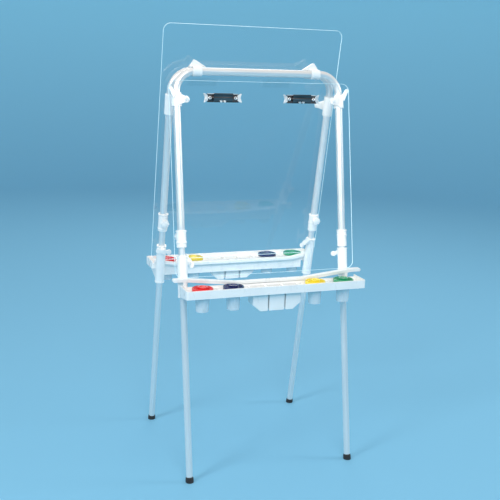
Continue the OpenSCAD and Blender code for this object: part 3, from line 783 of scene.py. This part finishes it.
def ribbon(profile, thickness, length):
    """A bent strip: a path in y and z, given a thickness, and drawn out along x."""
    edge = 0.25 * MM
    count = len(profile)
    sides = []
    for i, point in enumerate(profile):
        before = profile[max(i - 1, 0)]
        after = profile[min(i + 1, count - 1)]
        way = (after - before).normalized()
        sides.append((point, Vector((-way.y, way.x)) * thickness / 2))
    outline = [p + n for p, n in sides] + [p - n for p, n in reversed(sides)]
    area = sum(a.x * b.y - b.x * a.y for a, b in zip(outline, outline[1:] + outline[:1]))
    if area < 0:
        outline.reverse()
    loops = []
    half = length / 2
    for x, pull in ((-half, edge), (-half + edge, 0), (half - edge, 0), (half, edge)):
        shape = inset(outline, pull * 0.8) if pull else outline
        loops.append([(x, p.x, p.y) for p in shape])
    return skin(loops)


def clip_body(side):
    """The fixed half of a clip: a dark plate, and a bright copy of its steel on the flared tips, rivets and top
    edge, as painted highlights.
    """
    low, high = upright_box("clip_bodies", "front")
    face = low.y
    pivot = upright(JOINTS[f"{side}_clip_open"]["pos_m"], "front", "right")
    middle = Vector((abs(pivot.x), 0, pivot.z))
    reach = high.x - middle.x
    half_tip = (high.z - low.z) / 2
    body_half = reach - 12 * MM
    plate_half = half_tip - 2 * MM
    plate = 1.5 * MM
    rivet_x = 44 * MM
    ear_x = 34 * MM
    pin_half = 35.5 * MM
    upper = [
        Vector((face + 3.6 * MM, plate_half - 1.4 * MM)),
        Vector((face + 3.0 * MM, plate_half - 0.3 * MM)),
        Vector((face + 1.8 * MM, plate_half)),
        Vector((face + 0.9 * MM, plate_half - 1.0 * MM)),
        Vector((face + 0.75 * MM, plate_half - 3 * MM)),
        Vector((face + 0.75 * MM, 3 * MM)),
        Vector((face + 1.6 * MM, 1.2 * MM)),
    ]
    profile = upper + [Vector((spot.x, -spot.y)) for spot in reversed(upper)]
    plain = [ribbon(profile, 1.2 * MM, 2 * body_half)]
    # A bright bead along the top edge, a painted highlight.
    bead = 1.1 * MM
    top_edge = solid_turn([(bead, 0, 0.3 * MM), (bead, 2 * body_half - 2 * MM, 0.3 * MM)], 16)
    top_edge_start = (MM - body_half, face + 3.0 * MM, plate_half - 0.9 * MM)
    bright = [moved(pointed(top_edge, (1, 0, 0)), top_edge_start)]
    for sign in (-1, 1):
        tip = [
            (body_half - 3 * MM, -plate_half + 5 * MM, 1 * MM),
            (reach - 3 * MM, -half_tip, 1.2 * MM),
            (reach, -half_tip + 2 * MM, 1.2 * MM),
            (reach - 5 * MM, 0, 4 * MM),
            (reach, half_tip - 2 * MM, 1.2 * MM),
            (reach - 3 * MM, half_tip, 1.2 * MM),
            (body_half - 3 * MM, plate_half - 5 * MM, 1 * MM),
        ]
        flare = slab(rounded(tip, 5), face + 0.1 * MM, face + plate + 1.2 * MM, 0.5 * MM)
        if sign < 0:
            flare.transform(Matrix.Diagonal((-1, 1, 1, 1)))
            bmesh.ops.reverse_faces(flare, faces=flare.faces)
        bright.append(flare)
        rivet = pointed(
            ring_turn(
                [
                    (2.2 * MM, 0, 0), (5.6 * MM, 0, 0.2 * MM), (5.6 * MM, 2.4 * MM, 1.0 * MM),
                    (3.6 * MM, 3.6 * MM, 0.8 * MM), (2.2 * MM, 3.0 * MM, 0.4 * MM),
                ],
                40,
            ),
            (0, 1, 0),
        )
        core = pointed(solid_turn([(2.3 * MM, 0, 0), (2.3 * MM, 2.0 * MM, 0.5 * MM)], 32), (0, 1, 0))
        plain.append(moved(core, (sign * rivet_x, face + 1.2 * MM, 0)))
        bright.append(moved(rivet, (sign * rivet_x, face + 1.2 * MM, 0)))
        ear = rectangle((-4.5 * MM, -0.75 * MM), (4.5 * MM, 0.75 * MM), 0.2 * MM)
        ear = slab(ear, face + 0.5 * MM, pivot.y + 2.8 * MM, 0.4 * MM)
        ear.transform(Matrix.Rotation(math.pi / 2, 4, "Y"))
        plain.append(moved(ear, (sign * ear_x, 0, 0)))
    pin = solid_turn([(1.6 * MM, 0, 0.4 * MM), (1.6 * MM, 2 * pin_half, 0.4 * MM)], 24)
    plain.append(moved(pointed(pin, (1, 0, 0)), (-pin_half, pivot.y, 0)))
    return moved(joined(*plain), middle), moved(joined(*bright), middle)


def clip_bodies():
    plates, painted_highlights = [], []
    for side in SIDES:
        place = leaning("front", side)
        for half, group in zip(clip_body(side), (plates, painted_highlights)):
            half.transform(place)
            if place.determinant() < 0:
                bmesh.ops.reverse_faces(half, faces=half.faces)
            group.append(half)
    piece("clip_plates", joined(*plates), CLIP, "front_frame", ["clip_bodies"])
    piece("clip_painted_highlights", joined(*painted_highlights), CLIP_PAINTED_HIGHLIGHT, "front_frame", ["clip_bodies"])


def clip_lever(side):
    """The sprung lever: rolled round the pin, with a two-lobed jaw below and a curled grip above."""
    node = f"{side}_clip_lever"
    low, high = upright_box(node, "front", side)
    pivot = upright(JOINTS[f"{side}_clip_open"]["pos_m"], "front", side)
    length = high.x - low.x
    reach = 14 * MM
    roll = 2.5 * MM
    lobe_radius = 4.4 * MM
    lobe_x = 6.4 * MM
    near = low.y - pivot.y + 0.7 * MM
    far = high.y - pivot.y - 0.7 * MM
    curve = [
        Vector((near, -reach)),
        Vector((near * 0.86, -reach * 0.72)),
        Vector((near * 0.4, -reach * 0.42)),
    ]
    for k in range(9):
        angle = math.radians(-60 + 15 * k)
        curve.append(Vector((roll * math.cos(angle), roll * math.sin(angle))))
    curve += [Vector((far * 0.8, reach * 0.5)), Vector((far, reach * 0.8)), Vector((far * 0.9, reach))]
    lobes = []
    for sign in (-1, 1):
        lobe = solid_turn([(lobe_radius, 0, 0.3 * MM), (lobe_radius, 2.2 * MM, 0.9 * MM)], 32)
        lobe = pointed(lobe, (0, 1, 0))
        lobes.append(moved(lobe, (sign * lobe_x, near - 0.4 * MM, -reach + 3.2 * MM)))
    place = leaning("front", side)
    plate = moved(ribbon(curve, 1.1 * MM, length), pivot)
    piece(f"{node}_plate", plate, LEVER, f"{side}_clip", [node], place)
    lobe_pair = moved(joined(*lobes), pivot)
    # The lobes take the bright copy of the steel, a painted highlight.
    piece(f"{node}_lobes", lobe_pair, CLIP_PAINTED_HIGHLIGHT, f"{side}_clip", [node], place)


# ---- Trays ---------------------------------------------------------------------------------


TRAY_HALF = 316 * MM
TRAY_CORNER = 8 * MM
TRAY_BACK = 170 * MM
TRAY_WALL = 3 * MM
TRAY_BOTTOM = 622 * MM
TRAY_RIM = 650 * MM
BACK_WALL_TOP = 642 * MM
SKIRT_HALF = 270 * MM
LEDGE_BACK = 155 * MM
LEDGE_THICKNESS = 12 * MM
SLEEVE_HOLE = 17.9 * MM
POT_HOLE = 26 * MM
POST_HALF = 6 * MM
POST_BACK = 166 * MM
# How far the brush box's flange laps the tray round its opening.
BOX_LIP = 3.5 * MM
# Where each ledge starts and stops rising, its half length, and its height in the middle.
LEDGES = {
    "front": (120 * MM, 300 * MM, 338 * MM, 651 * MM),
    "rear": (225 * MM, 290 * MM, 308 * MM, 642 * MM),
}


def tray_outline(front_y, pull, inner):
    """The tray from above, drawn for the rear, pulled in all round."""
    half = TRAY_HALF - pull
    back = TRAY_BACK + pull
    front = front_y - pull
    outer = TRAY_CORNER - pull
    return rounded(
        [(-half, back, inner), (half, back, inner), (half, front, outer), (-half, front, outer)], 8
    )


def block(low, high, edge):
    """A box between two corners, with its edges rounded."""
    outline = rectangle(low, high, edge * 1.5, 4)
    return raised(outline, low[2], high[2], edge, edge)


def ledge(end, tip_top):
    """The strip that the board stands on: level in the middle, rising to its round tips."""
    level, rise, half_length, top = LEDGES[end]
    thick = LEDGE_THICKNESS
    tip = thick / 2 - 0.1 * MM
    corners = []
    for sign in (1, -1):
        side = [
            (sign * level, top, 60 * MM), (sign * rise, tip_top, 20 * MM),
            (sign * half_length, tip_top, tip), (sign * half_length, tip_top - thick, tip),
            (sign * rise, tip_top - thick, 20 * MM), (sign * level, top - thick, 60 * MM),
        ]
        corners += side[::-1] if sign > 0 else side
    return slab(rounded(corners, 8), LEDGE_BACK, TRAY_BACK + TRAY_WALL, 1.6 * MM)


def tray(end):
    """A moulded tray: rim, sunk deck with pot holes and box opening, skirt, and the board ledge."""
    node = f"{end}_tray"
    place = end_place(end)
    spots = [place @ v.co for v in frame["nodes"][node].data.vertices]
    box_low, box_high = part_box(f"{end}_brush_box")
    shift = (box_low.x + box_high.x) / 2
    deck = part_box(f"{end}_pot_1")[1].z - 2 * MM
    front_y = max(s.y for s in spots)
    ledge_top = max(s.z for s in spots)
    skirt_low = min(s.z for s in spots)
    above = TRAY_RIM + 20 * MM
    shell = raised(tray_outline(front_y, 0, 2.5 * MM), TRAY_BOTTOM, TRAY_RIM, 1.0 * MM, 1.2 * MM)
    well = raised(tray_outline(front_y, TRAY_WALL, 4 * MM), deck, above, 2.0 * MM, 0.1 * MM)
    under = raised(
        tray_outline(front_y, TRAY_WALL, 4 * MM),
        TRAY_BOTTOM - 20 * MM, deck - TRAY_WALL, 0.1 * MM, 2 * MM,
    )
    inside = TRAY_HALF - TRAY_WALL
    low_wall = block(
        (-inside, TRAY_BACK - 5 * MM, BACK_WALL_TOP),
        (inside, TRAY_BACK + TRAY_WALL + MM, above),
        0.5 * MM,
    )
    bm = moved(cut(shell, well, under, low_wall), (shift, 0, 0))
    holes = []
    for index in range(4):
        corner_low, corner_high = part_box(f"{end}_pot_{index + 1}")
        middle = place @ ((corner_low + corner_high) / 2)
        hole = solid_turn([(POT_HOLE, TRAY_BOTTOM, 0), (POT_HOLE, TRAY_RIM, 0)], 64)
        holes.append(moved(hole, (middle.x, middle.y, 0)))
    span = (box_high.x - box_low.x) / 2 - BOX_LIP
    depth = (box_high.y - box_low.y) / 2 - BOX_LIP
    middle_y = abs(box_low.y + box_high.y) / 2
    opening = block(
        (shift - span, middle_y - depth, TRAY_BOTTOM),
        (shift + span, middle_y + depth, above),
        2 * MM,
    )
    bm = cut(bm, *holes, opening)
    sleeves = []
    for sign in (-1, 1):
        sleeve = solid_turn([(SLEEVE_HOLE, -770 * MM, 0), (SLEEVE_HOLE, -600 * MM, 0)], 48)
        sleeve = moved(sleeve, (sign * LEG_X, 0, 0))
        sleeve.transform(leaning("rear"))
        sleeves.append(sleeve)
    strip = cut(moved(ledge(end, ledge_top), (shift, 0, 0)), *sleeves)
    face = TRAY_BACK + TRAY_WALL - 0.2 * MM
    skirt = block(
        (-SKIRT_HALF, TRAY_BACK + 0.2 * MM, skirt_low), (SKIRT_HALF, face, BACK_WALL_TOP - MM), 0.8 * MM
    )
    posts = [
        block(
            (sign * LEG_X - POST_HALF, POST_BACK, BACK_WALL_TOP - 4 * MM),
            (sign * LEG_X + POST_HALF, face, ledge_top - LEDGE_THICKNESS / 2),
            MM,
        )
        for sign in (-1, 1)
    ]
    bm = joined(bm, strip, skirt, *posts)
    piece(f"{node}_moulding", bm, WHITE, node, [node], place, 34)


# ---- Pots, lids and brush boxes ------------------------------------------------------------


SLOTS = {entry["node"]: entry["material_slot"] for entry in frame["record"]["subparts"]}


def pot(end, index):
    """A tapered pot with a thin wall, a round foot and a rolled rim."""
    node = f"{end}_pot_{index}"
    low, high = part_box(node)
    middle = (low + high) / 2
    top = 25 * MM
    base = 21 * MM
    rim = (high.x - low.x) / 2
    wall = 1.6 * MM
    floor = low.z
    deck = high.z - 1.7 * MM
    bm = ring_turn(
        [
            (0.5 * MM, floor + 1.4 * MM, 0),
            (base - 4 * MM, floor + 1.4 * MM, 0.4 * MM),
            (base - 3 * MM, floor, 0.4 * MM),
            (base, floor, 1.8 * MM),
            (top, deck, 0.8 * MM),
            (rim, deck, 0.5 * MM),
            (rim, high.z, 0.7 * MM),
            (top - wall, high.z, 0.7 * MM),
            (base - wall, floor + 3 * MM, 2.2 * MM),
            (0.5 * MM, floor + 3 * MM, 0),
        ],
        64,
    )
    piece(f"{node}_cup", moved(bm, (middle.x, middle.y, 0)), FROSTED, node, [node], None, 40)


def lid(end, index):
    """A snap lid: ridged rim, round groove, and a raised hub with a dished top."""
    node = f"{end}_lid_{index}"
    low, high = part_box(node)
    middle = (low + high) / 2
    radius = (high.x - low.x) / 2
    base = low.z + 5 * MM
    top = high.z
    turned = solid_turn(
        [
            (19.0 * MM, base + 1.0 * MM, 0.3 * MM),
            (20.2 * MM, low.z, 0.5 * MM),
            (22.2 * MM, low.z, 0.5 * MM),
            (22.4 * MM, base, 0.4 * MM),
            (radius - 0.4 * MM, base, 0.3 * MM),
            (radius, base + 0.8 * MM, 0.4 * MM),
            (radius, base + 8.8 * MM, 1.0 * MM),
            (radius - 1.4 * MM, base + 10.0 * MM, 0.8 * MM),
            (radius - 4.6 * MM, base + 10.0 * MM, 0.8 * MM),
            (radius - 5.6 * MM, base + 6.4 * MM, 1.2 * MM),
            (18.6 * MM, base + 6.0 * MM, 1.2 * MM),
            (17.0 * MM, base + 7.6 * MM, 1.0 * MM),
            (17.0 * MM, top - 0.4 * MM, 1.6 * MM),
            (12.8 * MM, top, 1.0 * MM),
            (11.4 * MM, top - 3.2 * MM, 1.4 * MM),
            (5.0 * MM, top - 3.8 * MM, 1.2 * MM),
            (3.8 * MM, top - 2.0 * MM, 0.9 * MM),
        ],
        72,
    )
    ribs = []
    count = 16
    for k in range(count):
        rib = rectangle((17.4 * MM, -0.7 * MM), (29.0 * MM, 0.7 * MM), 0.2 * MM, 3)
        rib = raised(rib, base + 5 * MM, base + 7.4 * MM, 0.1 * MM, 0.4 * MM)
        rib.transform(Matrix.Rotation(math.tau * k / count, 4, "Z"))
        ribs.append(rib)
    bm = moved(joined(turned, *ribs), (middle.x, middle.y, 0))
    piece(f"{node}_cap", bm, LIDS[SLOTS[node]], node, [node], None, 40)


def brush_box(end):
    """Three open compartments that hang from one flange, the outer two with a sloping corner."""
    node = f"{end}_brush_box"
    low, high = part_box(node)
    place = end_place(end)
    middle_y = abs(low.y + high.y) / 2
    flange = 4 * MM
    slit = 4 * MM
    wall = 2 * MM
    slope_width = 28 * MM
    slope_height = 23 * MM
    half_depth = (high.y - low.y) / 2 - flange
    half_width = (high.x - low.x) / 2 - flange
    middle_x = (low.x + high.x) / 2
    width = (2 * half_width - 2 * slit) / 3
    top = high.z
    parts = []
    hollows = []
    for index in range(3):
        left = -half_width + index * (width + slit)
        right = left + width
        for pull, ceiling, edge, store in (
            (0.0, top - 0.8 * MM, 3 * MM, parts),
            (wall, top + 20 * MM, 2 * MM, hollows),
        ):
            floor = low.z + pull
            slope_top = low.z + pull * 0.6 + slope_height
            run = pull * 0.6 + slope_width
            corners = [(left + pull, floor, 4 * MM)]
            if index == 0:
                corners = [(left + pull, slope_top, 5 * MM), (left + run, floor, 5 * MM)]
            ends = [(right - pull, floor, 4 * MM)]
            if index == 2:
                ends = [(right - run, floor, 5 * MM), (right - pull, slope_top, 5 * MM)]
            tops = [(right - pull, ceiling, 0), (left + pull, ceiling, 0)]
            depth = half_depth - pull
            outline = rounded(corners + ends + tops)
            store.append(slab(outline, middle_y - depth, middle_y + depth, edge))
    rim = rectangle(
        (-half_width - flange, middle_y - half_depth - flange),
        (half_width + flange, middle_y + half_depth + flange),
        4 * MM,
    )
    rim = raised(rim, top - 2 * MM, top, 0.6 * MM, 0.8 * MM)
    bm = cut(rim, *parts, operation="UNION")
    bm = moved(cut(bm, *hollows), (middle_x, 0, 0))
    piece(f"{node}_moulding", bm, WHITE, node, [node], place, 34)


# ---- Stage, light and camera ---------------------------------------------------------------


def stage():
    """A pale floor that curves up all round into a pale wall, painted lighter as it rises to make up for the lamp
    light that falls off towards the wall.
    """
    hub = 0.05
    radius = 6.0
    cove = 2.6
    wall_top = 4.4
    level = -0.0001
    arc_steps = 24
    around = 96
    profile = [(hub, level), (radius, level)]
    for k in range(1, arc_steps + 1):
        angle = math.pi / 2 * k / arc_steps
        profile.append((radius + cove * math.sin(angle), cove - cove * math.cos(angle)))
    profile.append((radius + cove, wall_top))
    turns = [math.tau * k / around for k in range(around)]
    loops = [[(r * math.cos(turn), r * math.sin(turn), z) for turn in turns] for r, z in profile]
    bm = skin(loops, caps=False)
    ring = [vertex for vertex in bm.verts if math.hypot(vertex.co.x, vertex.co.y) < 2 * hub]
    ring.sort(key=lambda vertex: math.atan2(vertex.co.y, vertex.co.x))
    bm.faces.new(ring)
    for face in bm.faces:
        if face.normal.dot(-face.calc_center_median() + Vector((0, 0, 3))) < 0:
            face.normal_flip()
    floor = as_object(bm, "studio_floor")
    floor.data.shade_smooth()
    finish, tree, bsdf = shader("studio_paper")
    directions = tree.nodes.new("ShaderNodeSeparateXYZ")
    tree.links.new(object_space(tree), directions.inputs["Vector"])
    # Painted light: the colour lightens with height, from the floor up the wall, so that the wall looks about as
    # bright as the floor.
    rising = ranged(tree, directions.outputs["Z"], 0, 1, 0, cove * 0.8)
    paper = tinted(tree, rising, (0.20, 0.50, 0.72), (0.34, 0.76, 0.97), 0, 1)
    tree.links.new(paper, bsdf.inputs["Base Color"])
    set_values(bsdf, Roughness=0.9)
    floor.data.materials.append(finish)


def soft_light(name, spot, target, size, power):
    lamp = bpy.data.lights.new(name, "AREA")
    lamp.shape = "DISK"
    lamp.size = size
    lamp.energy = power
    lamp.color = (1.0, 0.97, 0.93)
    obj = bpy.data.objects.new(name, lamp)
    obj.location = spot
    obj.rotation_euler = (Vector(target) - Vector(spot)).to_track_quat("-Z", "Y").to_euler()
    bpy.context.scene.collection.objects.link(obj)


def lights():
    middle = (0, 0, 0.8)
    soft_light("key_light", (-3.6, -1.7, 2.8), middle, 1.4, 70)
    soft_light("front_light", (-0.9, -4.0, 3.2), middle, 2.2, 72)
    soft_light("side_light", (3.8, -1.0, 2.2), middle, 1.2, 40)
    soft_light("back_light", (1.2, 3.6, 3.4), middle, 2.2, 26)
    soft_light("top_light", (0, 0, 4.6), middle, 2.6, 8)
    world = bpy.data.worlds.new("studio")
    world.use_nodes = True
    background = world.node_tree.nodes["Background"]
    background.inputs["Color"].default_value = (1.0, 0.98, 0.95, 1)
    background.inputs["Strength"].default_value = 0.62
    bpy.context.scene.world = world


def camera():
    """The viewing place: in front and to the left, a little above the boards' middle."""
    yaw = math.radians(20.78)
    pitch = math.radians(12.73)
    roll = math.radians(-1.88)
    spot = (-1.0207, -2.6789, 1.3613)
    ahead = Vector(
        (math.sin(yaw) * math.cos(pitch), math.cos(yaw) * math.cos(pitch), -math.sin(pitch))
    )
    level = Vector((math.cos(yaw), -math.sin(yaw), 0))
    down = ahead.cross(level)
    right = level * math.cos(roll) + down * math.sin(roll)
    up = -(down * math.cos(roll) - level * math.sin(roll))
    lens = bpy.data.cameras.new("camera")
    lens.sensor_width = 36
    lens.lens = 60.02
    obj = bpy.data.objects.new("camera", lens)
    turn = Matrix((right, up, -ahead)).transposed().to_4x4()
    obj.matrix_world = Matrix.Translation(spot) @ turn
    bpy.context.scene.collection.objects.link(obj)
    bpy.context.scene.camera = obj


camera()
stage()
lights()
bpy.context.scene.view_settings.view_transform = "Standard"

for end in ENDS:
    frame_tubes(end)
    board(end)
    board_bolts(end)
    moulded_fitting(f"{end}_board_clamps", f"{end}_frame")
    moulded_fitting(f"{end}_tray_sleeves", f"{end}_tray", 1.1 * MM)
    tray(end)
    brush_box(end)
    for index in range(1, 5):
        pot(end, index)
        lid(end, index)
    for side in SIDES:
        leg_tube(end, side)
        foot(end, side)
        moulded_fitting(f"{end}_{side}_lock", f"{end}_frame", 0.8 * MM)
        moulded_fitting(f"{end}_{side}_wing_knob", f"{end}_{side}_wing_knob", 0.6 * MM, 5)
        lock_knob(end, side)
        thumb_nut(end, side)
for side in SIDES:
    moulded_fitting(f"{side}_hinge_link", "front_frame", 0.8 * MM)
    clip_lever(side)
clip_bodies()
